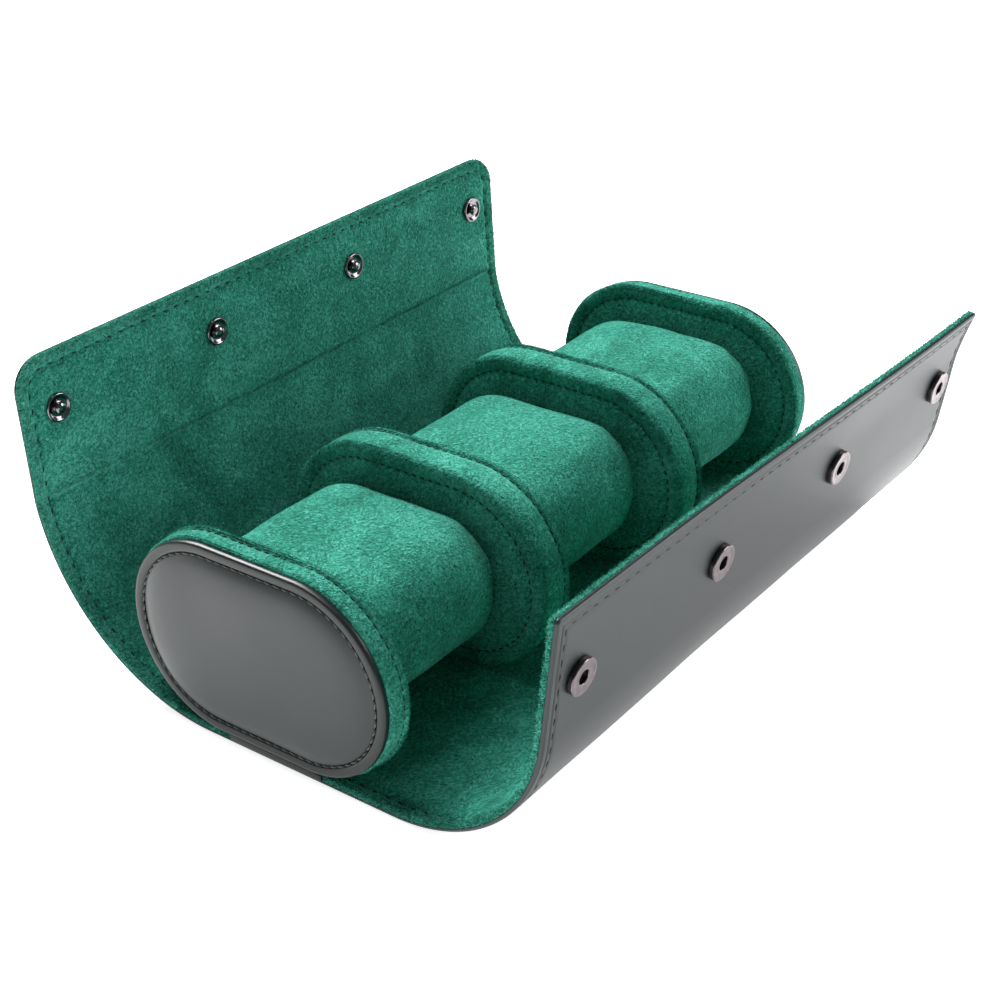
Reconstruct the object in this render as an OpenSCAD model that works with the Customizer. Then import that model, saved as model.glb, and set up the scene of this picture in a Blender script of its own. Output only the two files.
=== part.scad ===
// Watch roll: a padded core with three bays stands on a flexible wrap.
// The wrap's two flaps fold over the core and meet on top with four snaps.

/* [Core] */
// Length of the padded core, end disc to end disc
core_l = 240; // [220:1:280]
// Width of the end discs and dividers, front to back
disc_w = 99; // [92:0.5:112]
// Height of the end discs and dividers
disc_h = 64.5; // [58:0.5:72]
// Thickness of each end disc
cap_t = 10; // [9:0.5:14]
// Thickness of each divider
divider_t = 14; // [10:0.5:18]
// Radius of the bead along the edges of discs and dividers
bead_r = 1.2; // [0.8:0.1:1.6]
// Radius of the leather piping round the end discs
piping_r = 1.8; // [1.4:0.1:2.2]
// Thickness of the suede covers
suede_t = 1.2; // [0.8:0.1:1.6]
// Thickness of the stiffening board in each end disc
cap_board_t = 1.6; // [1:0.1:2]

/* [Pillows] */
// Width of a watch pillow, front to back
pillow_w = 75; // [64:1:84]
// Height of a watch pillow
pillow_h = 45; // [38:1:52]
// Height of a pillow's underside above the lining
pillow_lift = 13; // [8:0.5:18]
// Rounding of a pillow's ends
pillow_round = 6; // [3:0.5:9]
// Gap between a pillow's end and the disc beside it
pillow_gap = 0.3; // [0.2:0.1:0.8]

/* [Wrap] */
// Thickness of the outer leather
leather_t = 1.2; // [0.8:0.1:1.6]
// Thickness of the stiffening board between leather and lining
board_t = 0.6; // [0.4:0.1:1]
// Thickness of the suede lining
lining_t = 1.2; // [0.8:0.1:1.6]
// How far each end disc stands past the wrap
core_over = 1.5; // [0.5:0.5:4]
// Half the width of the flat base, up to the first folds
base_half = 25; // [22:0.5:28]
// Distance of the boards from the wrap's edges
board_inset = 5; // [3:0.5:8]
// Rounding of the front flap's free corners
front_corner_r = 1.5; // [1:0.5:6]
// Rounding of the back flap's free corners
back_corner_r = 11; // [8:0.5:16]
// Width left open between neighbouring strips at a fold
fold_gap = 0.3; // [0.2:0.1:0.6]

/* [Front flap] */
// Distance from the middle to where the front flap starts to curve
front_flat = 49; // [44:1:56]
// Outer radius of the front flap's curve
front_r = 54.8; // [46:0.2:64]
// How far the front flap curves up, in degrees
front_bend = 82; // [70:1:88]
// Length of the front flap's stiff panel
front_panel_l = 41.4; // [36:0.2:52]
// Distance from the panel's fold to the line of sockets
socket_s = 16.8; // [12:0.2:24]

/* [Back flap] */
// Outer radius of the back flap's curve
back_r = 69; // [60:0.5:78]
// How far the back flap curves up, in degrees
back_bend = 82; // [70:1:86]
// Angle of the crease where the back panel starts
back_crease = 6; // [3:0.5:8]
// Length of the back flap's stiff panel
back_panel_l = 47.5; // [42:0.5:56]
// Distance from the crease to the line of studs
stud_s = 28.9; // [24:0.1:34]

/* [Snaps] */
// Spacing of the four snaps along the roll
snap_pitch = 70; // [56:1:74]
// Diameter of a snap's socket
socket_d = 11.5; // [10:0.1:13]
// How far a socket stands out of the leather
socket_h = 1.8; // [1.6:0.1:2.6]
// Diameter of a stud's flange
stud_d = 9.5; // [8.5:0.1:11]
// Thickness of a stud's flange
stud_flange_t = 0.6; // [0.5:0.1:1]
// Diameter of the ball that snaps in
ball_d = 4; // [3.4:0.1:4.2]
// Clearance of the ball in the socket's mouth
ball_clear = 0.4; // [0.3:0.1:0.6]
// Diameter of the cap on the outside of the back flap
snap_cap_d = 12; // [11:0.1:14]
// Diameter of the rivet posts that go through the wrap
post_d = 3.2; // [2.6:0.1:3.6]

/* [End tabs] */
// Width of the leather tab at each end of the base
tab_w = 37; // [30:1:42]
// How far the tab's middle lies towards the front
tab_shift = 3.5; // [0:0.5:5]
// Thickness of the tab
tab_t = 0.8; // [0.6:0.1:1.4]

/* [Hidden] */
$fn = 64;

suede = [0.13, 0.47, 0.35];
suede_dark = [0.08, 0.34, 0.25];
leather = [0.27, 0.32, 0.30];
foam = [0.86, 0.83, 0.74];
board = [0.45, 0.40, 0.34];
gunmetal = [0.42, 0.38, 0.38];

fit = 0.1;                                  // clearance of a piece inside its cover
wrap_t = leather_t + board_t + lining_t;
wrap_l = core_l - 2 * core_over;
mid_t = wrap_t / 2;
disc_r = disc_h / 2;
disc_flat = (disc_w - disc_h) / 2;          // half the straight run of a disc's outline
disc_z = wrap_t + disc_r;
bay_l = (core_l - 2 * cap_t - 2 * divider_t) / 3;
divider_x = (bay_l + divider_t) / 2;
pillow_l = bay_l - 2 * pillow_gap;
pillow_x = bay_l + divider_t;
pillow_z = wrap_t + pillow_lift + pillow_h / 2;

// The flaps are cut into strips that turn on folds. At each fold, in degrees:
// how far it turns as the flap closes over the core, and as the flap is laid open.
front_close = [22.5, 20, 17, 15, 16, 7.5];
front_open = [0, 0, 0, 30, 32, 15];
back_close = [20, 20.5, 20, 2.1, 29.4];
back_open = [0, 23, 23, 5, 33];
front_flat_strips = 2;
front_strips = len(front_close) - 1;
front_arc_strips = front_strips - front_flat_strips;
back_strips = len(back_close) - 1;

// Half the opening that a layer leaves at a fold that turns by angle a towards it
function fold_cut(a) = mid_t * tan(a / 2) + fold_gap / 2;
function arc_deg(length, r) = length / r * 180 / PI;
corner_steps = 12;
least_corner_r = 1;                         // rounding left at the corners of inset pieces

snap_x = [for (i = [0:3]) (i - 1.5) * snap_pitch];
mouth_r = ball_d / 2 + ball_clear;
socket_floor = 0.3;
socket_lip = 0.45;
spring_wire_r = 0.3;
chamber_r = mouth_r + 2 * spring_wire_r + fit;
ball_reach = 1.4;                           // length of neck and ball past the flange
ball_edge_r = 0.5;                          // rounding of the ball's rim
cap_dome_h = 1.4;
rivet_d = stud_d;
rivet_t = 0.5;

// ---- shapes used by several pieces ----

// Turns a drawing in the plane of a disc so that its thickness runs along the roll
module across(x) {
    translate([x, 0, disc_z]) rotate([90, 0, 90]) children();
}

module at_end(right) {
    mirror([right ? 1 : 0, 0, 0]) children();
}

// Sweeps a profile (x out from the arc centres, y along the thickness) round a stadium
module around(half_flat) {
    for (a = [0, 180]) rotate([0, 0, a]) {
        translate([half_flat, 0, 0]) rotate([0, 0, -90]) rotate_extrude(angle = 180) children();
        translate([-half_flat, 0, 0]) rotate([90, 0, 90]) linear_extrude(2 * half_flat) children();
    }
}

// Profile of a flat disc of radius r whose rim is rounded by e on both faces
module rim_profile(r, t, e) {
    square([r - e, t]);
    translate([0, e]) square([r, t - 2 * e]);
    for (y = [e, t - e]) translate([r - e, y]) intersection() {
        circle(e);
        translate([0, -e]) square([e, 2 * e]);
    }
}

// ---- wrap: strips, panels ----

// One layer of a flat strip that starts at y and is l long
module flat_layer(y, l, depth, t, cut_a, cut_b) {
    translate([-wrap_l / 2, y + cut_a, depth]) cube([wrap_l, l - cut_a - cut_b, t]);
}

// One layer of a curved strip, from angle a to angle b round a centre above y
module curved_layer(y, r, a, b, depth, t, cut_a, cut_b) {
    start = a + arc_deg(cut_a, r - mid_t);
    end = b - arc_deg(cut_b, r - mid_t);
    translate([0, y, r]) rotate([90, 0, 90]) rotate([0, 0, start - 90])
        rotate_extrude(angle = end - start)
            translate([r - depth - t, -wrap_l / 2]) square([t, wrap_l]);
}

// Strip i (from 1) of the front flap, drawn on the +Y side and mirrored
module front_layer(i, depth, t, turn) {
    flat_l = (front_flat - base_half) / front_flat_strips;
    bend = front_bend / front_arc_strips;
    cut_a = fold_cut(turn[i - 1]);
    cut_b = fold_cut(turn[i]);
    j = i - 1 - front_flat_strips;
    mirror([0, 1, 0])
        if (j < 0) flat_layer(base_half + (i - 1) * flat_l, flat_l, depth, t, cut_a, cut_b);
        else curved_layer(front_flat, front_r, j * bend, (j + 1) * bend, depth, t, cut_a, cut_b);
}

module back_layer(i, depth, t, turn) {
    bend = back_bend / back_strips;
    curved_layer(base_half, back_r, (i - 1) * bend, i * bend, depth, t,
        fold_cut(turn[i - 1]), fold_cut(turn[i]));
}

module front_leather(i) {
    color(leather) front_layer(i, 0, mid_t, front_open);
}

module front_lining(i) {
    color(suede) front_layer(i, mid_t, mid_t, front_close);
}

module back_leather(i) {
    color(leather) back_layer(i, 0, mid_t, back_open);
}

module back_lining(i) {
    color(suede) back_layer(i, mid_t, mid_t, back_close);
}

// Moves a drawing to a panel: x along the roll, y up the flap, z towards the core
module on_front_panel() {
    a = front_bend;
    r = front_r - mid_t;
    mirror([0, 1, 0]) translate([0, front_flat + r * sin(a), front_r - r * cos(a)])
        rotate([a, 0, 0]) children();
}

module on_back_panel() {
    a = back_bend;
    r = back_r - mid_t;
    translate([0, base_half + r * sin(a), back_r - r * cos(a)])
        rotate([a + back_crease, 0, 0]) children();
}

// Points of an arc of radius r round (x, y), from angle a to angle b
function arc_points(x, y, r, a, b) =
    [for (k = [0:corner_steps]) let (t = a + (b - a) * k / corner_steps) [x + r * cos(t), y + r * sin(t)]];

// Outline of a panel l long, with its free corners rounded by corner_r
module panel_outline(l, corner_r, cut, inset) {
    w = wrap_l - 2 * inset;
    r = max(corner_r - inset, least_corner_r);
    end = l - inset;
    polygon(concat(
        [[-w / 2, cut], [w / 2, cut]],
        arc_points(w / 2 - r, end - r, r, 0, 90),
        arc_points(-w / 2 + r, end - r, r, 90, 180)));
}

// Places a drawing at each snap of a line that lies s up a panel
module at_snaps(s) {
    for (x = snap_x) translate([x, s, 0]) children();
}

module post_holes(s) {
    at_snaps(s) cylinder(d = post_d + 2 * fit, h = 2 * wrap_t, center = true);
}

module panel_leather(l, corner_r, turn, s) {
    difference() {
        translate([0, 0, -mid_t]) linear_extrude(leather_t)
            panel_outline(l, corner_r, fold_cut(turn), 0);
        post_holes(s);
    }
}

module panel_board(l, corner_r, turn, s) {
    difference() {
        translate([0, 0, leather_t - mid_t]) linear_extrude(board_t)
            panel_outline(l, corner_r, fold_cut(turn) + board_inset, board_inset);
        post_holes(s);
    }
}

// The lining is thicker round the board, so that it meets the leather at the edge
module panel_lining(l, corner_r, turn, s) {
    difference() {
        translate([0, 0, leather_t - mid_t]) linear_extrude(board_t + lining_t)
            panel_outline(l, corner_r, fold_cut(turn), 0);
        translate([0, 0, leather_t - mid_t]) linear_extrude(board_t)
            panel_outline(l, corner_r, fold_cut(turn) + board_inset - fit, board_inset - fit);
        post_holes(s);
    }
}

module front_panel_leather() {
    color(leather) on_front_panel()
        panel_leather(front_panel_l, front_corner_r, front_open[front_strips], socket_s);
}

module front_panel_board() {
    color(board) on_front_panel()
        panel_board(front_panel_l, front_corner_r, front_close[front_strips], socket_s);
}

module front_panel_lining() {
    color(suede) on_front_panel()
        panel_lining(front_panel_l, front_corner_r, front_close[front_strips], socket_s);
}

module back_panel_leather() {
    color(leather) on_back_panel()
        panel_leather(back_panel_l, back_corner_r, back_open[back_strips], stud_s);
}

module back_panel_board() {
    color(board) on_back_panel()
        panel_board(back_panel_l, back_corner_r, back_close[back_strips], stud_s);
}

module back_panel_lining() {
    color(suede) on_back_panel()
        panel_lining(back_panel_l, back_corner_r, back_close[back_strips], stud_s);
}

// ---- base ----

// Block of the base between heights z and z + t, short of both first folds
module base_block(z, t, front_cut, back_cut, inset) {
    translate([-wrap_l / 2 + inset, -base_half + front_cut + inset, z])
        cube([wrap_l - 2 * inset, 2 * base_half - front_cut - back_cut - 2 * inset, t]);
}

module base_leather() {
    color(leather) base_block(0, leather_t, fold_cut(front_open[0]), fold_cut(back_open[0]), 0);
}

module base_board() {
    color(board) base_block(leather_t, board_t, fold_cut(front_close[0]), fold_cut(back_close[0]),
        board_inset);
}

module base_lining() {
    color(suede) difference() {
        base_block(leather_t, board_t + lining_t, fold_cut(front_close[0]), fold_cut(back_close[0]), 0);
        base_block(leather_t, board_t, fold_cut(front_close[0]), fold_cut(back_close[0]),
            board_inset - fit);
    }
}

module end_tab(right) {
    color(leather) at_end(right)
        translate([-wrap_l / 2 - tab_t, -tab_shift - tab_w / 2, 0]) cube([tab_t, tab_w, wrap_t]);
}

// ---- end discs ----

module on_cap(right) {
    at_end(right) across(-core_l / 2) around(disc_flat) children();
}

cap_face = 0.7;                              // how far the leather face lies inside the piping
face_r = disc_r - 2 * piping_r - fit;
board_y = 2 * piping_r + fit;                // depth of the board, just behind the piping
board_r = disc_r - suede_t - fit;
core_r = disc_r - 2 * bead_r - fit;          // foam core, clear of the beads

module cap_piping(right) {
    color(leather) on_cap(right) translate([disc_r - piping_r, piping_r]) circle(piping_r);
}

module cap_leather(right) {
    color(leather) on_cap(right) translate([0, cap_face]) square([face_r, leather_t]);
}

module cap_pad(right) {
    y = cap_face + leather_t;
    color(foam) on_cap(right) translate([0, y]) square([face_r, board_y - y]);
}

module cap_board(right) {
    color(board) on_cap(right) translate([0, board_y]) square([board_r, cap_board_t]);
}

module cap_foam(right) {
    y = board_y + cap_board_t;
    color(foam) on_cap(right) translate([0, y]) square([core_r, cap_t - suede_t - fit - y]);
}

// Suede round the rim and over the face towards the pillows, with a bead at the corner
module cap_suede(right) {
    color(suede) on_cap(right) {
        translate([disc_r - suede_t, board_y]) square([suede_t, cap_t - bead_r - board_y]);
        translate([0, cap_t - suede_t]) square([disc_r - bead_r, suede_t]);
        translate([disc_r - bead_r, cap_t - bead_r]) circle(bead_r);
    }
}

// ---- dividers ----

module on_divider(right) {
    at_end(right) across(-divider_x - divider_t / 2) around(disc_flat) children();
}

module divider_suede(right) {
    color(suede_dark) on_divider(right) {
        difference() {
            square([disc_r - bead_r / 2, divider_t]);
            translate([0, suede_t]) square([disc_r - bead_r / 2 - suede_t, divider_t - 2 * suede_t]);
        }
        for (y = [bead_r, divider_t - bead_r]) translate([disc_r - bead_r, y]) circle(bead_r);
    }
}

module divider_foam(right) {
    inset = suede_t + fit;
    color(foam) on_divider(right)
        translate([0, inset]) square([core_r, divider_t - 2 * inset]);
}

// ---- pillows ----

// Pillow outline shrunk by inset on every side
module pillow_shape(inset) {
    r = pillow_h / 2 - inset;
    translate([0, 0, inset]) around((pillow_w - pillow_h) / 2)
        rim_profile(r, pillow_l - 2 * inset, pillow_round - inset);
}

// Pillow i: -1 left, 0 middle, 1 right
module at_pillow(i) {
    translate([i * pillow_x - pillow_l / 2, 0, pillow_z]) rotate([90, 0, 90]) children();
}

module pillow_suede(i) {
    color(suede) at_pillow(i) difference() {
        pillow_shape(0);
        pillow_shape(suede_t);
    }
}

module pillow_foam(i) {
    color(foam) at_pillow(i) pillow_shape(suede_t + fit);
}

// ---- snaps ----

// Places a drawing on a face of a panel, with +Z out of that face
module on_socket_face() {
    on_front_panel() at_snaps(socket_s) translate([0, 0, -mid_t]) mirror([0, 0, 1]) children();
}

module on_stud_face() {
    on_back_panel() at_snaps(stud_s) translate([0, 0, mid_t]) children();
}

module snap_sockets() {
    r = socket_d / 2;
    color(gunmetal) on_socket_face() rotate_extrude() difference() {
        union() {
            square([r, socket_h / 3]);
            translate([r - socket_h / 3, socket_h / 3]) circle(socket_h / 3);
            square([r - socket_h / 3, socket_h * 2 / 3]);
            square([r - socket_h, socket_h]);
        }
        translate([-1, socket_floor]) square([1 + chamber_r, socket_h - socket_floor - socket_lip]);
        translate([-1, socket_floor]) square([1 + mouth_r, socket_h]);
    }
}

module snap_springs() {
    color("silver") on_socket_face() rotate_extrude()
        translate([mouth_r + spring_wire_r, (socket_floor + socket_h - socket_lip) / 2])
            circle(spring_wire_r);
}

// Post through the front panel, with a rolled flange on the lining
module snap_socket_rivets() {
    color(gunmetal) on_socket_face() {
        translate([0, 0, -wrap_t]) cylinder(d = post_d, h = wrap_t);
        translate([0, 0, -wrap_t - rivet_t]) cylinder(d = rivet_d, h = rivet_t);
    }
}

// Flange with a rolled rim, a necked ball and the post through the back panel
module snap_studs() {
    rim_r = stud_flange_t / 2;
    neck_r = ball_d / 2 - ball_edge_r;
    top = stud_flange_t + ball_reach;
    color(gunmetal) on_stud_face() {
        translate([0, 0, -wrap_t]) cylinder(d = post_d, h = wrap_t);
        cylinder(d = stud_d - 2 * rim_r, h = rim_r);
        rotate_extrude() {
            translate([stud_d / 2 - rim_r, rim_r]) circle(rim_r);
            square([neck_r, top]);
            translate([neck_r, top - ball_edge_r]) circle(ball_edge_r);
        }
    }
}

module snap_caps() {
    r = snap_cap_d / 2;
    dome_r = (r * r + cap_dome_h * cap_dome_h) / (2 * cap_dome_h);
    color(gunmetal) on_stud_face() translate([0, 0, -wrap_t]) mirror([0, 0, 1]) rotate_extrude()
        intersection() {
            translate([0, cap_dome_h - dome_r]) circle(dome_r, $fn = 360);
            square([r, cap_dome_h]);
        }
}

base_leather();
base_board();
base_lining();
end_tab(false);  // end_tab_left
end_tab(true);  // end_tab_right
front_leather(1);  // front_leather_1
front_leather(2);  // front_leather_2
front_leather(3);  // front_leather_3
front_leather(4);  // front_leather_4
front_leather(5);  // front_leather_5
front_lining(1);  // front_lining_1
front_lining(2);  // front_lining_2
front_lining(3);  // front_lining_3
front_lining(4);  // front_lining_4
front_lining(5);  // front_lining_5
front_panel_leather();
front_panel_board();
front_panel_lining();
back_leather(1);  // back_leather_1
back_leather(2);  // back_leather_2
back_leather(3);  // back_leather_3
back_leather(4);  // back_leather_4
back_lining(1);  // back_lining_1
back_lining(2);  // back_lining_2
back_lining(3);  // back_lining_3
back_lining(4);  // back_lining_4
back_panel_leather();
back_panel_board();
back_panel_lining();
cap_leather(false);  // cap_leather_left
cap_leather(true);  // cap_leather_right
cap_piping(false);  // cap_piping_left
cap_piping(true);  // cap_piping_right
cap_pad(false);  // cap_pad_left
cap_pad(true);  // cap_pad_right
cap_board(false);  // cap_board_left
cap_board(true);  // cap_board_right
cap_foam(false);  // cap_foam_left
cap_foam(true);  // cap_foam_right
cap_suede(false);  // cap_suede_left
cap_suede(true);  // cap_suede_right
divider_suede(false);  // divider_suede_left
divider_suede(true);  // divider_suede_right
divider_foam(false);  // divider_foam_left
divider_foam(true);  // divider_foam_right
pillow_suede(-1);  // pillow_suede_left
pillow_suede(0);  // pillow_suede_middle
pillow_suede(1);  // pillow_suede_right
pillow_foam(-1);  // pillow_foam_left
pillow_foam(0);  // pillow_foam_middle
pillow_foam(1);  // pillow_foam_right
snap_sockets();
snap_springs();
snap_socket_rivets();
snap_studs();
snap_caps();
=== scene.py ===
"""Watch roll: stitched leather and suede, padded discs and pillows, and snap fittings.

The wrap is drawn as a flat pattern (x along the roll, s across it, t through its thickness),
cut into spans between the folds, and rolled into place.
"""
import math

import bpy
import numpy as np
from mathutils import Matrix, Vector, noise


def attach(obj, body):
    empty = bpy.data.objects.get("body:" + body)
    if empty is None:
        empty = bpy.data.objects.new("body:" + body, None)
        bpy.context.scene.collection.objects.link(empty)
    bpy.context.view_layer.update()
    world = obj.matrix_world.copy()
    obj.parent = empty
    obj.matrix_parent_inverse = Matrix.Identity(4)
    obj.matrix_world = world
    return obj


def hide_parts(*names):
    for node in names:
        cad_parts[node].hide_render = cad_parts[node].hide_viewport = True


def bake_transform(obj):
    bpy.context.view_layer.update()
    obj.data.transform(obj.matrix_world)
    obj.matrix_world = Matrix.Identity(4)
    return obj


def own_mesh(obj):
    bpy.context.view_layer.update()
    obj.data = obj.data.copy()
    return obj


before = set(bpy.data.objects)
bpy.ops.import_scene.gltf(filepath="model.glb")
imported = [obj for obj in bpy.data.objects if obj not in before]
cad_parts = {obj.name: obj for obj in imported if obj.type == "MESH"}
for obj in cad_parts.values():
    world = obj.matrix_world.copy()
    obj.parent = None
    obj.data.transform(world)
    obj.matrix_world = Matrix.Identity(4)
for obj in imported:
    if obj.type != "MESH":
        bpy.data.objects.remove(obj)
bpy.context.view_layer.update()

MM = 0.001

# ---- camera ----

CAMERA_PLACE = Vector((-436.0, -338.9, 338.0)) * MM
CAMERA_AZIMUTH = math.radians(-52.12)
CAMERA_ELEVATION = math.radians(28.71)
CAMERA_ROLL = math.radians(1.95)
CAMERA_LENS = 67.26


def add_camera():
    a, e, r = CAMERA_AZIMUTH, CAMERA_ELEVATION, CAMERA_ROLL
    back = Vector((math.sin(a) * math.cos(e), -math.cos(a) * math.cos(e), math.sin(e)))
    right = Vector((math.cos(a), math.sin(a), 0))
    up = back.cross(right)
    turned_right = math.cos(r) * right - math.sin(r) * up
    turned_up = math.sin(r) * right + math.cos(r) * up
    data = bpy.data.cameras.new("camera")
    data.lens = CAMERA_LENS
    camera = bpy.data.objects.new("camera", data)
    bpy.context.scene.collection.objects.link(camera)
    facing = Matrix((turned_right, turned_up, back)).transposed().to_4x4()
    camera.matrix_world = Matrix.Translation(CAMERA_PLACE) @ facing
    bpy.context.scene.camera = camera


add_camera()

# ---- sizes ----

WRAP_L = 237 * MM
WRAP_T = 3.0 * MM
MID_T = WRAP_T / 2
LEATHER_T = 1.35 * MM
BASE_HALF = 25 * MM
FRONT_CORNER_R = 1.5 * MM
BACK_CORNER_R = 11 * MM

FRONT_FLAT = 49 * MM
FRONT_R = 54.8 * MM
FRONT_BEND = math.radians(82)
FRONT_PANEL = 41.4 * MM
SOCKET_S = 16.8 * MM

BACK_R = 69 * MM
BACK_BEND = math.radians(82)
BACK_CREASE = math.radians(6)
BACK_PANEL = 47.5 * MM
STUD_S = 28.9 * MM

FRONT_ARC = (FRONT_R - MID_T) * FRONT_BEND
BACK_ARC = (BACK_R - MID_T) * BACK_BEND
FRONT_CREASE_S = -(FRONT_FLAT + FRONT_ARC)
BACK_CREASE_S = BASE_HALF + BACK_ARC
FRONT_END = FRONT_CREASE_S - FRONT_PANEL
BACK_END = BACK_CREASE_S + BACK_PANEL

WRAP_MIDDLE = (FRONT_END + BACK_END) / 2
WRAP_HALF_RUN = (BACK_END - FRONT_END) / 2

# Towards its right end the front flap leans and curls outwards, and its bend draws inwards
LEAN = 1.0 * MM
CURL = 3.0 * MM
CURL_START = SOCKET_S + 5 * MM
CURL_POWER = 1.5
TUCK = 0.8 * MM

SNAPS = 4
SNAP_PITCH = 70 * MM
SNAP_XS = [(i - (SNAPS - 1) / 2) * SNAP_PITCH for i in range(SNAPS)]

# The discs are padded: uncrushed, their covers stand a little proud of the stiff core
DISC_FLAT = 17.25 * MM
DISC_Z = 36.8 * MM
DISC_SEAT = 2.95 * MM
CAP_INNER_X = -110 * MM
DIVIDER_X = -39 * MM
DIVIDER_HALF = 7 * MM

WELD = 0.001 * MM
FINE_WELD = 0.0001 * MM

# ---- modelling helpers ----


def alone(piece):
    """Selects one object and makes it active."""
    bpy.ops.object.select_all(action="DESELECT")
    piece.select_set(True)
    bpy.context.view_layer.objects.active = piece


def edit(piece):
    alone(piece)
    bpy.ops.object.mode_set(mode="EDIT")
    bpy.ops.mesh.select_all(action="SELECT")


def end_edit():
    bpy.ops.object.mode_set(mode="OBJECT")


def named(name):
    """Takes the primitive just added, gives it a name and keeps its place in its mesh."""
    piece = bpy.context.active_object
    piece.name = name
    piece.data.name = name
    piece.data.transform(piece.matrix_world)
    piece.matrix_world = Matrix.Identity(4)
    return piece


def stretch(piece, size):
    """Stretches a piece of size 1 to a size."""
    edit(piece)
    bpy.ops.transform.resize(value=size, center_override=(0, 0, 0))
    end_edit()


def copied(piece, name):
    """A copy of an object with a mesh of its own."""
    other = piece.copy()
    other.data = piece.data.copy()
    other.name = other.data.name = name
    bpy.context.scene.collection.objects.link(other)
    return other


def apply_modifier(piece, kind, **settings):
    alone(piece)
    modifier = piece.modifiers.new(kind.lower(), kind)
    for key, value in settings.items():
        setattr(modifier, key, value)
    bpy.ops.object.modifier_apply(modifier=modifier.name)


def points_of(piece):
    points = np.empty(len(piece.data.vertices) * 3)
    piece.data.vertices.foreach_get("co", points)
    return points.reshape(-1, 3)


def set_points(piece, points):
    piece.data.vertices.foreach_set("co", np.ascontiguousarray(points, dtype=np.float32).ravel())
    piece.data.update()


def smooth(piece, degrees):
    alone(piece)
    bpy.ops.object.shade_smooth_by_angle(angle=math.radians(degrees))


def joined(name, pieces):
    """Joins several objects into the first of them."""
    bpy.ops.object.select_all(action="DESELECT")
    for piece in pieces:
        piece.select_set(True)
    bpy.context.view_layer.objects.active = pieces[0]
    bpy.ops.object.join()
    pieces[0].name = pieces[0].data.name = name
    return pieces[0]


def mesh_piece(name, vertices, edges, faces):
    mesh = bpy.data.meshes.new(name)
    mesh.from_pydata([tuple(v) for v in vertices], edges, faces)
    piece = bpy.data.objects.new(name, mesh)
    bpy.context.scene.collection.objects.link(piece)
    return piece


def spun(name, line, axis, steps, weld, turn=0.0):
    """Spins a line of points all the way round an axis, after a small turn round X."""
    piece = mesh_piece(name, line, [(k, k + 1) for k in range(len(line) - 1)], [])
    piece.data.transform(Matrix.Rotation(turn, 4, "X"))
    edit(piece)
    bpy.ops.mesh.spin(steps=steps, angle=2 * math.pi, center=(0, 0, 0), axis=axis)
    bpy.ops.mesh.select_all(action="SELECT")
    bpy.ops.mesh.remove_doubles(threshold=weld)
    end_edit()
    return piece


def faces_out(piece):
    edit(piece)
    bpy.ops.mesh.normals_make_consistent(inside=False)
    end_edit()


def ripple(points, size, depth, seed):
    """Soft random offsets, one per point, for hand-made unevenness."""
    shift = Vector((seed * 7.3, seed * 3.1, seed * 5.7))
    return np.array([noise.noise(Vector(p) / size + shift) for p in points]) * depth


def uneven(piece, size, depth, seed):
    """The points of a piece, each moved a little along its normal."""
    points = points_of(piece)
    normals = np.empty(len(points) * 3)
    piece.data.vertices.foreach_get("normal", normals)
    return points + normals.reshape(-1, 3) * ripple(points, size, depth, seed)[:, None]


def placed(place, along, normal):
    """Matrix that stands something on a place, its X along and its Z on the normal."""
    matrix = Matrix((along, normal.cross(along), normal)).transposed().to_4x4()
    matrix.translation = place
    return matrix


def in_metres(profile):
    return [(a * MM, r * MM) for a, r in profile]


def soft_line(points, steps=4):
    """A smooth line through a few points of a profile, as a Catmull-Rom curve."""
    p = np.array([points[0], *points, points[-1]], dtype=float)
    line = []
    for a, b, c, d in zip(p, p[1:], p[2:], p[3:]):
        for k in range(steps):
            t = k / steps
            line.append(0.5 * (2 * b + (c - a) * t + (2 * a - 5 * b + 4 * c - d) * t * t
                               + (3 * b - a - 3 * c + d) * t * t * t))
    line.append(p[-1])
    return line


# ---- materials ----


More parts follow.
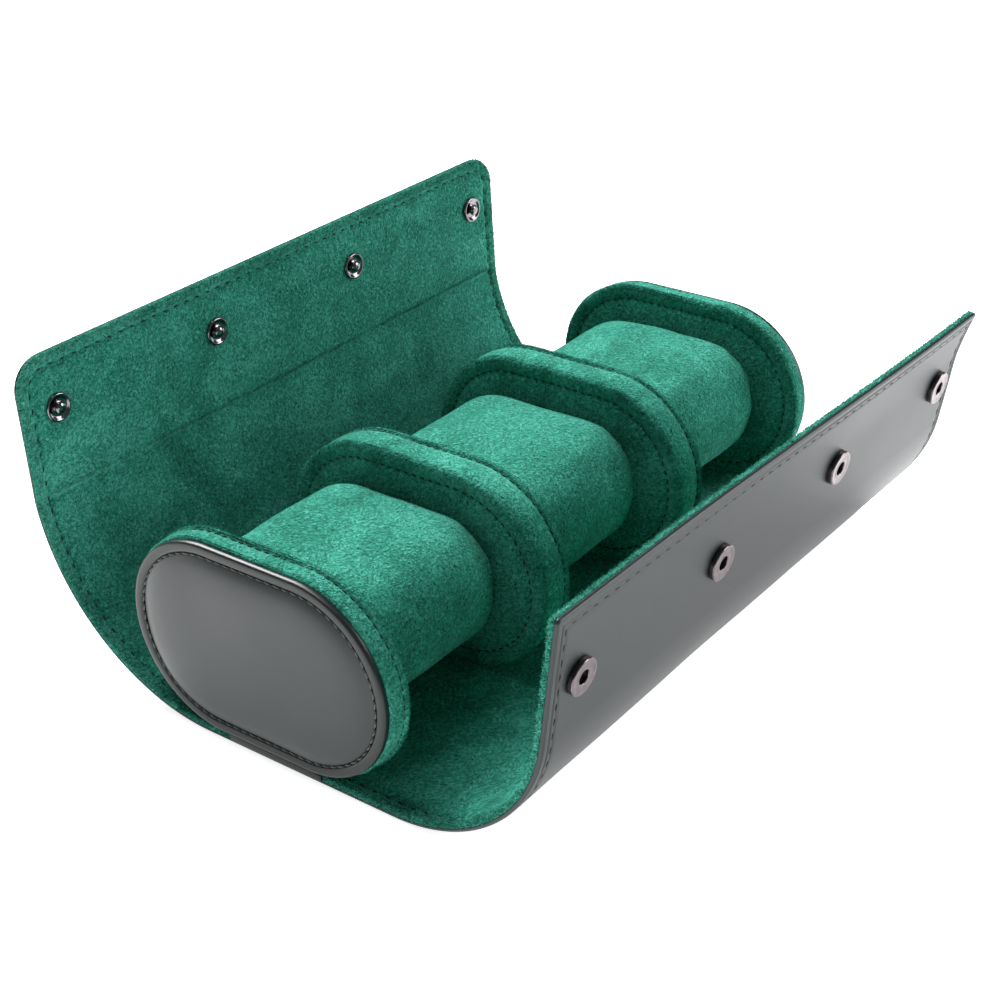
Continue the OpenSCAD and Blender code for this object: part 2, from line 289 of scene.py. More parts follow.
class Shader:
    """A node material that starts from Object coordinates."""

    def __init__(self, name):
        self.material = bpy.data.materials.new(name)
        self.material.use_nodes = True
        self.tree = self.material.node_tree
        self.surface = self.tree.nodes["Principled BSDF"]
        self.place = self.tree.nodes.new("ShaderNodeTexCoord").outputs["Object"]

    def feed(self, node, *values, **named):
        """Gives a node's inputs, in order or by name, a value or a source each."""
        by_name = [(node.inputs[key.replace("_", " ")], value) for key, value in named.items()]
        for socket, value in [*zip(node.inputs, values), *by_name]:
            if isinstance(value, bpy.types.NodeSocket):
                self.tree.links.new(value, socket)
            else:
                socket.default_value = value

    def node(self, kind, *values, **named):
        node = self.tree.nodes.new(f"ShaderNode{kind}")
        self.feed(node, *values, **named)
        return node

    def set(self, **values):
        self.feed(self.surface, **values)

    def stretched(self, size, turn=(0, 0, 0)):
        """Coordinates that draw a texture of size 1 out to the given sizes, along turned axes."""
        node = self.node("Mapping", Vector=self.place, Rotation=[math.radians(a) for a in turn], Scale=size)
        node.vector_type = "TEXTURE"
        return node.outputs["Vector"]

    def noise(self, scale, detail=2.0, roughness=0.5, distortion=0.0, place=None):
        node = self.node("TexNoise", Vector=place or self.place, Scale=scale, Detail=detail,
                         Roughness=roughness, Distortion=distortion)
        return node.outputs["Fac"]

    def cell_edges(self, scale):
        node = self.node("TexVoronoi", Vector=self.place, Scale=scale)
        node.feature = "DISTANCE_TO_EDGE"
        return node.outputs["Distance"]

    def math(self, operation, a, b):
        node = self.node("Math", a, b)
        node.operation = operation
        return node.outputs["Value"]

    def choice(self, mask, a, b):
        """Blends two sources by a mask."""
        return self.node("Mix", Factor=mask, A=a, B=b).outputs["Result"]

    def steep(self, source, low, high):
        """Stretches a source so that low to high becomes 0 to 1."""
        return self.node("MapRange", Value=source, From_Min=low, From_Max=high).outputs["Result"]

    def mixed(self, parts):
        """Weighted sum of several sources."""
        total = self.math("MULTIPLY", *parts[0])
        for source, weight in parts[1:]:
            total = self.math("ADD", total, self.math("MULTIPLY", source, weight))
        return total

    def colour(self, source, stops):
        node = self.node("ValToRGB", Fac=source)
        elements = node.color_ramp.elements
        while len(elements) < len(stops):
            elements.new(0.5)
        for element, (position, colour) in zip(elements, stops):
            element.position = position
            element.color = (*colour, 1)
        self.set(Base_Color=node.outputs["Color"])

    def roughness(self, source, low, high):
        self.set(Roughness=self.node("MapRange", Value=source, To_Min=low, To_Max=high).outputs["Result"])

    def bump(self, layers):
        """Stacks bumps, each a height source with its depth in metres and its strength."""
        below = {}
        for height, depth, strength in layers:
            node = self.node("Bump", Height=height, Distance=depth, Strength=strength, **below)
            below = {"Normal": node.outputs["Normal"]}
        self.set(**below)


def suede(name, dark, middle, light):
    """Short wiry nap: strands a few millimetres long that lie one way here and another there."""
    s = Shader(name)
    strand = (2.7 * MM, 0.68 * MM, 0.68 * MM)
    one_way = s.noise(1.0, detail=2.0, distortion=0.9, place=s.stretched(strand, (0, 35, 40)))
    other_way = s.noise(1.0, detail=2.0, distortion=0.9, place=s.stretched(strand, (60, -30, -50)))
    patch = s.steep(s.noise(140, detail=1), 0.44, 0.56)
    strands = s.steep(s.choice(patch, one_way, other_way), 0.28, 0.72)
    tufts = s.steep(s.noise(800, detail=2, roughness=0.6), 0.28, 0.72)
    marks = s.noise(38, detail=3, roughness=0.55, distortion=1.2)
    brushed = s.noise(1.0, detail=2, distortion=0.8, place=s.stretched((45 * MM, 14 * MM, 18 * MM)))
    tone = s.mixed([(strands, 0.40), (tufts, 0.15), (marks, 0.36), (brushed, 0.17)])
    s.colour(tone, [(0.33, dark), (0.53, middle), (0.74, light)])
    s.set(Roughness=0.95, Specular_IOR_Level=0.1, Sheen_Weight=0.3, Sheen_Roughness=0.4,
          Sheen_Tint=(0.30, 1.0, 0.80, 1))
    s.bump([(marks, 1.0 * MM, 0.2), (tufts, 0.5 * MM, 0.6), (strands, 0.6 * MM, 0.9)])
    return s.material


def leather(name, dark, light, rough_low, rough_high, grain=0.35, gloss=0.46):
    """Smooth finished hide with a very fine grain and a soft gloss."""
    s = Shader(name)
    cloud = s.noise(18, detail=3, roughness=0.6)
    pores = s.cell_edges(1900)
    fine = s.noise(2800, detail=2, roughness=0.6)
    s.colour(s.mixed([(cloud, 0.8), (fine, 0.2)]), [(0.35, dark), (0.68, light)])
    s.roughness(s.mixed([(cloud, 0.7), (fine, 0.3)]), rough_low, rough_high)
    s.set(Specular_IOR_Level=gloss)
    s.bump([(cloud, 0.6 * MM, 0.12), (pores, 0.08 * MM, grain), (fine, 0.06 * MM, grain)])
    return s.material


def metal(name, dark, light, rough_low, rough_high):
    s = Shader(name)
    tarnish = s.noise(420, detail=3, roughness=0.6)
    scratches = s.noise(1.0, detail=2, place=s.stretched((1.1 * MM, 0.19 * MM, 0.3 * MM)))
    s.colour(s.mixed([(tarnish, 0.7), (scratches, 0.3)]), [(0.32, dark), (0.7, light)])
    s.roughness(scratches, rough_low, rough_high)
    s.set(Metallic=1.0)
    s.bump([(scratches, 0.03 * MM, 0.5)])
    return s.material


def plain(name, dark, light, scale, depth, rough=0.9):
    """Foam, board and thread: one mottled colour with an open surface."""
    s = Shader(name)
    cells = s.noise(scale, detail=3, roughness=0.65)
    s.colour(cells, [(0.3, dark), (0.7, light)])
    s.set(Roughness=rough, Specular_IOR_Level=0.3)
    s.bump([(cells, depth, 0.7)])
    return s.material


GREEN_SUEDE = suede("green_suede", (0.005, 0.080, 0.052), (0.019, 0.205, 0.143), (0.085, 0.440, 0.335))
# A lighter copy of the green suede: painted highlight for nap that catches the light, at the lining's
# edges, along the back crease and round the end discs' outer edges.
LIT_NAP_SUEDE = suede("green_suede_lit_nap", (0.020, 0.170, 0.120), (0.070, 0.390, 0.290), (0.170, 0.640, 0.510))
HIDE = leather("green_black_leather", (0.007, 0.012, 0.013), (0.014, 0.021, 0.023), 0.34, 0.46)
EDGE_HIDE = leather("edge_leather", (0.007, 0.009, 0.009), (0.014, 0.017, 0.017), 0.30, 0.42,
                    grain=0.2, gloss=0.36)
THREAD = plain("dark_thread", (0.004, 0.010, 0.008), (0.016, 0.030, 0.024), 5200, 0.08 * MM, 0.55)
GREY_THREAD = plain("grey_thread", (0.050, 0.066, 0.054), (0.150, 0.175, 0.150), 5200, 0.08 * MM, 0.55)
SEAM_THREAD = plain("green_thread", (0.002, 0.014, 0.009), (0.006, 0.040, 0.026), 5200, 0.08 * MM, 0.8)
GUNMETAL = metal("gunmetal", (0.100, 0.083, 0.087), (0.215, 0.180, 0.186), 0.16, 0.30)
# Near-black metal for the floor of each socket's hole: painted shade of the deep, narrow hole.
WELL_SHADE_METAL = metal("painted_shade_metal", (0.02, 0.018, 0.018), (0.05, 0.045, 0.045), 0.25, 0.40)
BLACK_CHROME = metal("black_chrome", (0.12, 0.11, 0.115), (0.24, 0.215, 0.225), 0.08, 0.18)
SPRING = metal("spring_wire", (0.45, 0.44, 0.43), (0.72, 0.70, 0.68), 0.18, 0.30)
FOAM = plain("padding_foam", (0.62, 0.58, 0.48), (0.84, 0.80, 0.70), 900, 0.4 * MM)
BOARD = plain("grey_board", (0.20, 0.18, 0.15), (0.34, 0.30, 0.25), 700, 0.1 * MM)


def painted(piece, material):
    piece.data.materials.clear()
    piece.data.materials.append(material)


def dressed(piece, material, degrees):
    """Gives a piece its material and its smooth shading."""
    painted(piece, material)
    smooth(piece, degrees)


# ---- wrap: flat pattern and rolling ----


def eased(value, low, high):
    """0 up to low, 1 from high on, and smooth between."""
    u = np.clip((value - low) / (high - low), 0, 1)
    return u * u * (3 - 2 * u)


def flare(x, s):
    """How far the front flap's stiff part leans and curls outwards, most at its right end."""
    reach = np.maximum(FRONT_CREASE_S - s, 0)
    past_sockets = np.maximum(reach - CURL_START, 0) / (FRONT_PANEL - CURL_START)
    full = LEAN * reach / FRONT_PANEL + CURL * past_sockets ** CURL_POWER
    return full * eased(x, -WRAP_L / 3, WRAP_L / 2)


TUCK_S = -(FRONT_FLAT + 0.6 * FRONT_ARC)
TUCK_REACH = 0.33 * FRONT_ARC


def tuck(x, s):
    """How far the front bend draws inwards: not at all at the left end, and fully from the middle on."""
    return TUCK * eased(x, -WRAP_L / 2, 0) * np.exp(-((s - TUCK_S) / TUCK_REACH) ** 2)


def rolled(flat):
    """Puts points of the flat pattern, given as x, s, t, where they lie on the standing roll."""
    x, s, t = flat.T
    t = t - flare(x, s) + tuck(x, s)
    front = s < 0
    run = np.abs(s)
    start = np.where(front, FRONT_FLAT, BASE_HALF)
    radius = np.where(front, FRONT_R, BACK_R) - MID_T
    bend = np.where(front, FRONT_BEND, BACK_BEND)
    crease = np.where(front, 0.0, BACK_CREASE)
    angle = np.clip((run - start) / radius, 0, bend)
    beyond = np.maximum(run - start - radius * bend, 0)
    panel = bend + crease
    tilt = np.where(beyond > 0, panel, angle)
    y = np.minimum(run, start) + radius * np.sin(angle) + beyond * np.cos(panel)
    z = MID_T + radius * (1 - np.cos(angle)) + beyond * np.sin(panel)
    y = y - (t - MID_T) * np.sin(tilt)
    z = z + (t - MID_T) * np.cos(tilt)
    return np.stack([x, np.where(front, -y, y), z], axis=1)


def rolled_point(x, s, t):
    return Vector(rolled(np.array([[x, s, t]]))[0])


def corner_radius(s):
    """Rounding of the free corners on that point's flap."""
    return np.where(s < 0, FRONT_CORNER_R, BACK_CORNER_R)


def from_corner(x, s):
    """How far flat points reach past the centres of the nearest corner's rounding."""
    radius = corner_radius(s)
    return np.abs(x) - (WRAP_L / 2 - radius), np.abs(s - WRAP_MIDDLE) - (WRAP_HALF_RUN - radius)


def edge_distance(x, s):
    """How far flat points lie inside the wrap's outline."""
    u, v = from_corner(x, s)
    past = np.hypot(np.maximum(u, 0), np.maximum(v, 0)) + np.minimum(np.maximum(u, v), 0)
    return np.maximum(corner_radius(s) - past, 0)


# Grid lines beside an edge and across a crease, and the step between the other lines
EDGE_LINES = [0, 0.1, 0.25, 0.5, 0.8, 1.1, 1.5, 1.9, 2.15, 2.4, 2.65, 2.9, 3.3, 3.7, 4.0, 4.3, 4.6,
              4.9, 5.3, 6.0, 7.0, 8.3, 9.8, 11.4, 13.0]
CREASE_LINES = np.array([-1.6, -1.1, -0.7, -0.35, 0, 0.35, 0.7, 1.1, 1.5, 2.0, 2.5, 3.0, 3.7]) * MM
LEAST_GAP = 0.25 * MM
INNER_STEP = 2.4 * MM


def grid_lines(low, high):
    """Grid lines from low to high, close together near both edges."""
    edge = np.array(EDGE_LINES) * MM
    count = round((high - low - 2 * edge[-1]) / INNER_STEP)
    inner = np.linspace(low + edge[-1], high - edge[-1], count + 1)[1:-1]
    return np.concatenate([low + edge, inner, (high - edge)[::-1]])


def with_crease_lines(rows):
    """Adds lines close together along both creases, in place of those that lie next to them."""
    creases = np.concatenate([BACK_CREASE_S + CREASE_LINES, FRONT_CREASE_S - CREASE_LINES])
    apart = np.abs(rows[:, None] - creases).min(axis=1) > LEAST_GAP
    return np.sort(np.concatenate([rows[apart], creases]))


def round_corners(x, s):
    """Draws the corner squares of the pattern in to quarter discs."""
    radius = corner_radius(s)
    u, v = from_corner(x, s)
    corner = (u > 0) & (v > 0)
    shift_u = u * np.sqrt(np.maximum(1 - v ** 2 / (2 * radius ** 2), 0)) - u
    shift_v = v * np.sqrt(np.maximum(1 - u ** 2 / (2 * radius ** 2), 0)) - v
    x = x + np.where(corner, np.sign(x) * shift_u, 0)
    s = s + np.where(corner, np.sign(s - WRAP_MIDDLE) * shift_v, 0)
    return x, s


def dip(distance, centre, width, depth):
    """A pressed line: a smooth valley of that depth round a centre."""
    return depth * np.exp(-((distance - centre) / (width / 2)) ** 2)


def rim_drop(distance, radius):
    """How far a rounded rim lies below its face."""
    d = np.clip(distance, 0, radius)
    return radius - np.sqrt(radius ** 2 - (radius - d) ** 2)


OUTER_RIM = 0.9 * MM
LEATHER_RIM = 0.25 * MM
LINING_RIM = 0.3 * MM
GROOVE_IN = 2.6 * MM
STITCH_IN = 4.3 * MM
# Pressed lines and folds, each as its width and depth
GROOVE = (0.6 * MM, 0.34 * MM)
STITCH_BED = (1.1 * MM, 0.22 * MM)
LINING_BED = (1.6 * MM, 0.85 * MM)
CREASE_VALLEY = (1.6 * MM, 0.6 * MM)
CREASE_RIDGE = (2.4 * MM, 0.4 * MM)
RIDGE_BEYOND = 2.0 * MM
# Unevenness, each as its size and depth
LEATHER_WAVES = (34 * MM, 0.22 * MM)
LINING_WAVES = (26 * MM, 0.35 * MM)
LINING_NAP = (3.4 * MM, 0.16 * MM)
# How far in from the edge the waves and creases reach their full depth
LEATHER_FADE = 9 * MM
LINING_FADE = 10 * MM
CREASE_FADE = 4 * MM


def waves(x, s, size_and_depth, seed):
    return ripple(np.stack([x, s, 0 * x], axis=1), *size_and_depth, seed)


def faded(d, reach):
    """0 at the edge and 1 from that far in."""
    return np.clip(d / reach, 0, 1)


def leather_outside(x, s, d):
    face = rim_drop(d, OUTER_RIM) + dip(d, GROOVE_IN, *GROOVE) + dip(d, STITCH_IN, *STITCH_BED)
    return np.maximum(face + waves(x, s, LEATHER_WAVES, 1) * faded(d, LEATHER_FADE), 0)


def leather_inside(x, s, d):
    return LEATHER_T - rim_drop(d, LEATHER_RIM)


def lining_outside(x, s, d):
    return LEATHER_T + rim_drop(d, LINING_RIM)


def crease(s, place):
    """The lining's fold where a stiff panel starts: a narrow valley beside a low ridge."""
    return dip(s, place, *CREASE_VALLEY) - dip(s, place + np.sign(place) * RIDGE_BEYOND, *CREASE_RIDGE)


def lining_inside(x, s, d):
    folds = crease(s, BACK_CREASE_S) + crease(s, FRONT_CREASE_S)
    face = WRAP_T - rim_drop(d, OUTER_RIM) - dip(d, STITCH_IN, *LINING_BED) - folds * faded(d, CREASE_FADE)
    return face + waves(x, s, LINING_WAVES, 2) * faded(d, LINING_FADE) + waves(x, s, LINING_NAP, 3)


DRAFT_T = 1 * MM


def flat_layer(name, under, over):
    """One layer of the wrap, lying flat: a grid with round corners, given its two faces."""
    columns = grid_lines(-WRAP_L / 2, WRAP_L / 2)
    rows = with_crease_lines(grid_lines(FRONT_END, BACK_END))
    bpy.ops.mesh.primitive_grid_add(x_subdivisions=len(columns) - 1, y_subdivisions=len(rows) - 1, size=1)
    layer = named(name)
    unit = points_of(layer)
    column = np.rint((unit[:, 0] + 0.5) * (len(columns) - 1)).astype(int)
    row = np.rint((unit[:, 1] + 0.5) * (len(rows) - 1)).astype(int)
    x, s = round_corners(columns[column], rows[row])
    set_points(layer, np.stack([x, s, 0 * x], axis=1))
    apply_modifier(layer, "SOLIDIFY", thickness=DRAFT_T, offset=1)
    flat = points_of(layer)
    x, s = flat[:, 0], flat[:, 1]
    d = edge_distance(x, s)
    top = flat[:, 2] > DRAFT_T / 2
    flat[:, 2] = np.where(top, over(x, s, d), under(x, s, d))
    set_points(layer, flat)
    return layer


def cut_span(layer, name, low, high):
    """Copies a layer and trims it to the span between two lines across the wrap."""
    span = copied(layer, name)
    for place, outwards in ((low, -1), (high, 1)):
        if FRONT_END < place < BACK_END:
            edit(span)
            bpy.ops.mesh.bisect(plane_co=(0, place, 0), plane_no=(0, outwards, 0), use_fill=True,
                                clear_outer=True, threshold=FINE_WELD)
            end_edit()
    return span


def fold_lines(start, arc, strips):
    """Folds at even steps along a flap's bend."""
    return [start + k * arc / strips for k in range(strips + 1)]


FRONT_FOLDS = [BASE_HALF, (BASE_HALF + FRONT_FLAT) / 2] + fold_lines(FRONT_FLAT, FRONT_ARC, 3)
BACK_FOLDS = fold_lines(BASE_HALF, BACK_ARC, 4)
FOLD_REACH = 6 * MM


def fold_spans(side, folds, sign, end):
    """The spans of one flap, each as name, inner line, outer line and the bodies it joins."""
    bodies = ["base"] + [f"{side}_fold_{k + 1}" for k in range(len(folds) - 1)] + [f"{side}_panel"]
    middles = [(a + b) / 2 for a, b in zip(folds, folds[1:])]
    cuts = [folds[0] - FOLD_REACH] + middles + [folds[-1] + FOLD_REACH]
    spans = [(f"{side}_{k + 1}", sign * a, sign * b, bodies[k], bodies[k + 1])
             for k, (a, b) in enumerate(zip(cuts, cuts[1:]))]
    return spans + [(f"{side}_panel", sign * cuts[-1], end, bodies[-1], None)]


BASE_REACH = BASE_HALF - FOLD_REACH
SPANS = ([("base", -BASE_REACH, BASE_REACH, "base", None)]
         + fold_spans("front", FRONT_FOLDS, -1, FRONT_END)
         + fold_spans("back", BACK_FOLDS, 1, BACK_END))


def roll_up(piece, body, next_body):
    """Rolls a flat piece of a span into place. A piece with one body rides it; a piece between two bodies
    stays where it is rolled.
    """
    set_points(piece, rolled(points_of(piece)))
    if next_body:
        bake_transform(piece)
    else:
        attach(piece, body)


def replaced_nodes(kind, span_name):
    """The CAD strip that a span stands for, if any: fold spans take the strip beyond their fold."""
    side, _, part = span_name.partition("_")
    if span_name == "base":
        return [f"base_{kind}"]
    if part == "panel":
        return [f"{side}_panel_{kind}"]
    last = len(FRONT_FOLDS if side == "front" else BACK_FOLDS)
    return [f"{side}_{kind}_{part}"] if int(part) < last else []


def make_wrap():
    layers = (("leather", leather_outside, leather_inside, HIDE, "leather", 50),
              ("lining", lining_outside, lining_inside, GREEN_SUEDE, "suede", 60))
    for kind, under, over, material, slot, angle in layers:
        layer = flat_layer(f"wrap_{kind}", under, over)
        for span_name, inner, outer, body, next_body in SPANS:
            piece = cut_span(layer, f"wrap_{kind}_{span_name}", *sorted((inner, outer)))
            roll_up(piece, body, next_body)
            dressed(piece, material, angle)
            nodes = replaced_nodes(kind, span_name)
            if nodes:
                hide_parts(*nodes)
        bpy.data.objects.remove(layer)


# ---- stitches ----

CORNER_STEPS = 24


def outline(half_a, low_b, high_b, low_r, high_r):
    """Points round a rectangle with rounded corners: low_r at the low end, high_r at the high one."""
    points = []
    corners = [(1, high_b - high_r, high_r), (-1, high_b - high_r, high_r),
               (-1, low_b + low_r, low_r), (1, low_b + low_r, low_r)]
    for quarter, (side, b, radius) in enumerate(corners):
        for step in range(CORNER_STEPS + 1):
            angle = math.pi / 2 * (quarter + step / CORNER_STEPS)
            a = side * (half_a - radius)
            points.append((a + radius * math.cos(angle), b + radius * math.sin(angle)))
    return points


def evenly(points, pitch, shift=0.5):
    """Spots round a closed outline at an even pitch, each as a, b and the heading there."""
    line = np.array(points + points[:1])
    steps = np.diff(line, axis=0)
    run = np.concatenate([[0], np.cumsum(np.hypot(*steps.T))])
    count = round(run[-1] / pitch)
    spots = []
    for at in (np.arange(count) + shift) * run[-1] / count:
        k = min(int(np.searchsorted(run, at, side="right")) - 1, len(steps) - 1)
        heading = math.atan2(steps[k][1], steps[k][0])
        share = (at - run[k]) / (run[k + 1] - run[k])
        spots.append((*(line[k] + steps[k] * share), heading))
    return spots


LEAST_CORNER_R = 0.4 * MM


def wrap_outline(inset):
    """The wrap's outline in its flat pattern, drawn in by that much."""
    radii = [max(radius - inset, LEAST_CORNER_R) for radius in (FRONT_CORNER_R, BACK_CORNER_R)]
    return outline(WRAP_L / 2 - inset, FRONT_END + inset, BACK_END - inset, *radii)


def sewn(name, size, places, thread=THREAD):
    """Stitches of one size, each at a place given as a matrix and along its X, in one mesh."""
    bpy.ops.mesh.primitive_uv_sphere_add(segments=8, ring_count=6, radius=0.5,
                                         rotation=(0, math.pi / 2, 0))
    stitch = named("stitch")
    stretch(stitch, size)
    base = np.hstack([points_of(stitch), np.ones((len(stitch.data.vertices), 1))])
    faces = [tuple(face.vertices) for face in stitch.data.polygons]
    bpy.data.objects.remove(stitch)
    vertices = [(base @ np.array(place).T)[:, :3] for place in places]
    copies = [tuple(i + k * len(base) for i in face) for k in range(len(places)) for face in faces]
    piece = mesh_piece(name, np.concatenate(vertices), [], copies)
    painted(piece, thread)
    smooth(piece, 80)
    return piece


def lying(a, b, heading, height, slant):
    """Matrix for a stitch lying in the plane of a pattern."""
    return Matrix.Translation((a, b, height)) @ Matrix.Rotation(heading + slant, 4, "Z")


WRAP_PITCH = 4.9 * MM
DISC_PITCH = 3.3 * MM
STITCH_SLANT = math.radians(9)
OUTSIDE_T = 0.2 * MM
INSIDE_T = WRAP_T - 0.72 * MM
# Stitches, and the dark spots of painted shade in the cap's stitch holes, each as its length, width and
# height
OUTSIDE_STITCH = (2.3 * MM, 0.6 * MM, 0.5 * MM)
INSIDE_STITCH = (1.9 * MM, 0.6 * MM, 0.5 * MM)
DIVIDER_STITCH = (1.9 * MM, 0.5 * MM, 0.45 * MM)
COVER_STITCH = (1.8 * MM, 0.5 * MM, 0.45 * MM)
FACE_STITCH = (2.3 * MM, 0.6 * MM, 0.6 * MM)
FACE_HOLE_SHADE = (1.0 * MM, 0.9 * MM, 0.62 * MM)


def make_wrap_stitches():
    spots = evenly(wrap_outline(STITCH_IN), WRAP_PITCH)
    for span_name, inner, outer, body, next_body in SPANS:
        low, high = sorted((inner, outer))
        here = [spot for spot in spots if low <= spot[1] < high]
        rows = [sewn("stitches", OUTSIDE_STITCH, [lying(*spot, OUTSIDE_T, STITCH_SLANT) for spot in here]),
                sewn("stitches", INSIDE_STITCH, [lying(*spot, INSIDE_T, -STITCH_SLANT) for spot in here],
                     SEAM_THREAD)]
        piece = joined(f"wrap_stitches_{span_name}", rows)
        roll_up(piece, body, next_body)


# ---- fringes of nap ----

TUFT_ANGLES = [math.radians(120 * k) for k in range(3)]
TUFT_FACES = [(0, 2, 1), (0, 1, 3), (1, 2, 3), (2, 0, 3)]
TUFT_PITCH = 0.34 * MM
TUFT_WIDTH = 0.19 * MM
TUFT_WIDTHS = (0.7, 1.3)
TUFT_LENGTHS = (0.55, 1.15)
TUFT_SCATTER = 0.33


def fringe(name, roots, leans, length, seed, material=GREEN_SUEDE):
    """Tufts of nap, each a closed three-sided spike at its root, leaning its own way."""
    random_numbers = np.random.default_rng(seed)
    count = len(roots)
    along = leans + random_numbers.normal(0, TUFT_SCATTER, (count, 3))
    along /= np.linalg.norm(along, axis=1, keepdims=True)
    side = np.cross(along, random_numbers.normal(0, 1, (count, 3)))
    side /= np.linalg.norm(side, axis=1, keepdims=True)
    other = np.cross(along, side)
    width = TUFT_WIDTH * random_numbers.uniform(*TUFT_WIDTHS, (count, 1))
    corners = [roots + width * (math.cos(a) * side + math.sin(a) * other) for a in TUFT_ANGLES]
    tips = roots + along * length * random_numbers.uniform(*TUFT_LENGTHS, (count, 1))
    vertices = np.stack([*corners, tips], axis=1).reshape(-1, 3)
    faces = [tuple(4 * k + i for i in face) for k in range(count) for face in TUFT_FACES]
    piece = mesh_piece(name, vertices, [], faces)
    painted(piece, material)
    return piece


FRINGE_LENGTH = 1.3 * MM
# Rows of tufts, from the lining's edge in over its border: how far in, how high in the wrap's
# thickness, and how far they stand up
LINING_ROWS = ((0.25, 1.7, 0.2), (0.40, 2.1, 0.3), (0.55, 2.5, 0.4), (0.75, 2.8, 0.5), (1.3, 2.95, 0.3),
               (1.9, 2.95, 0.25), (2.5, 2.95, 0.2), (3.1, 2.9, 0.15))
NAP_OUT = 0.75
NAP_ASIDE = 0.45
CREASE_REACH = 113 * MM
CREASE_NAP = (1.3, 1.7, 2.1)
CREASE_LIFT = 0.5
ROOT_DEPTH = 0.1 * MM


def crease_rows():
    """Rows of tufts that stand up along the back panel's crease; in the lighter suede they draw the crease
    as a line of painted highlight.
    """
    x = np.arange(-CREASE_REACH, CREASE_REACH, TUFT_PITCH)
    rows = []
    for past in CREASE_NAP:
        s = np.full(len(x), BACK_CREASE_S + past * MM)
        t = lining_inside(x, s, edge_distance(x, s)) - ROOT_DEPTH
        rows.append(np.stack([x, s, t, 0 * x, 1 + 0 * x, CREASE_LIFT + 0 * x], axis=1))
    return np.concatenate(rows)


def make_lining_fringe():
    rows = []
    for inset, t, lift in LINING_ROWS:
        spots = evenly(wrap_outline(inset * MM), TUFT_PITCH)
        rows += [(a, b, t * MM, math.sin(heading), -math.cos(heading), lift) for a, b, heading in spots]
    rows = np.concatenate([rows, crease_rows()])
    a, b, t, out_a, out_b, lift = rows.T
    roots = np.stack([a, b, t], axis=1)
    lean_a, lean_b = NAP_OUT * out_a - NAP_ASIDE * out_b, NAP_OUT * out_b + NAP_ASIDE * out_a
    leans = np.stack([lean_a, lean_b, lift], axis=1)
    for number, (span_name, inner, outer, body, next_body) in enumerate(SPANS):
        low, high = sorted((inner, outer))
        here = (b >= low) & (b < high)
        # The lining's tufts take the lighter suede, a painted highlight of nap catching the light.
        piece = fringe(f"lining_fringe_{span_name}", roots[here], leans[here], FRINGE_LENGTH, number,
                       LIT_NAP_SUEDE)
        roll_up(piece, body, next_body)


# ---- discs ----

SPIN_STEPS = 96
LONG_EDGE = 30 * MM
RUN_CUTS = 9


def stadium(name, profile):
    """Spins a profile of x, r pairs round the disc's middle and draws the two halves apart."""
    line = [(x, 0, r) for x, r in profile]
    disc = spun(name, line, (1, 0, 0), SPIN_STEPS, WELD, turn=math.pi / SPIN_STEPS)
    points = points_of(disc)
    points[:, 1] += np.sign(np.round(points[:, 1], 7)) * DISC_FLAT
    points[:, 2] += DISC_Z
    set_points(disc, points)
    subdivide_runs(disc)
    faces_out(disc)
    seat(disc, points_of(disc))
    return disc


def seat(disc, points):
    """Gives a disc its points, and rests on the lining those that lie below its seat."""
    points[:, 2] = np.maximum(points[:, 2], DISC_SEAT)
    set_points(disc, points)


def subdivide_runs(disc):
    """Cuts the long faces of the straight runs across."""
    points = points_of(disc)
    edit(disc)
    bpy.ops.mesh.select_mode(type="EDGE")
    bpy.ops.mesh.select_all(action="DESELECT")
    end_edit()
    for edge in disc.data.edges:
        a, b = edge.vertices
        edge.select = bool(abs(points[a][1] - points[b][1]) > LONG_EDGE)
    bpy.ops.object.mode_set(mode="EDIT")
    bpy.ops.mesh.subdivide(number_cuts=RUN_CUTS)
    bpy.ops.mesh.select_mode(type="VERT")
    end_edit()


def mirrored(piece):
    """A copy of a piece of the left half, on the right half."""
    other = copied(piece, piece.name.replace("left", "right"))
    other.data.transform(Matrix.Scale(-1, 4, (1, 0, 0)))
    faces_out(other)
    return other


# From the middle of a disc's inner face out to its bead and seam, in mm: how far behind the
# face's plane, and how far from the disc's middle line
FACE_TO_SEAM = [(-0.1, 0), (-0.1, 14), (-0.1, 23.5), (0.05, 27.2), (0.6, 28.8), (0.15, 30.0), (-0.1, 31.4),
                (0.0, 32.8), (0.5, 33.7), (1.25, 33.95), (1.85, 33.4), (2.25, 33.15), (2.8, 33.45)]
DIVIDER_CROWN = [(-2.5, 33.9), (0, 34.05), (2.5, 33.9)]
# The left end disc's profiles in mm, each point as x and its distance from the middle line
CAP_BAND = [(-113.6, 33.5), (-115.5, 33.45), (-116.9, 33.3), (-117.6, 32.9), (-117.75, 32.2),
            (-117.6, 30.5), (-117.2, 27), (-117.1, 0)]
CAP_FACE = [(-117.6, 0), (-117.6, 27.0), (-118.3, 28.7), (-119.0, 29.0), (-119.5, 28.7), (-120.0, 27.6),
            (-120.65, 25.6), (-121.15, 22.8), (-121.5, 18), (-121.6, 10), (-121.6, 0)]
CAP_RIM = [(-118.4, 29.2), (-117.7, 30.4), (-117.4, 31.9), (-117.7, 32.5), (-118.6, 32.75),
           (-119.4, 32.65), (-119.85, 32.3), (-120.05, 31.6), (-120.05, 30.7), (-119.95, 30.0),
           (-119.65, 29.45), (-119.1, 29.15), (-118.4, 29.2)]
COVER_RIPPLE = (14 * MM, 0.35 * MM)
FACE_RIPPLE = (24 * MM, 0.4 * MM)
FACE_SEAM_R = 28.8 * MM
FACE_SEAM_DEPTH = 0.3 * MM
BAND_SEAM_R = 33.3 * MM
BAND_SEAM_DEPTH = 2.2 * MM
CAP_GROOVE_X = -119.6 * MM
CAP_GROOVE_R = 28.95 * MM


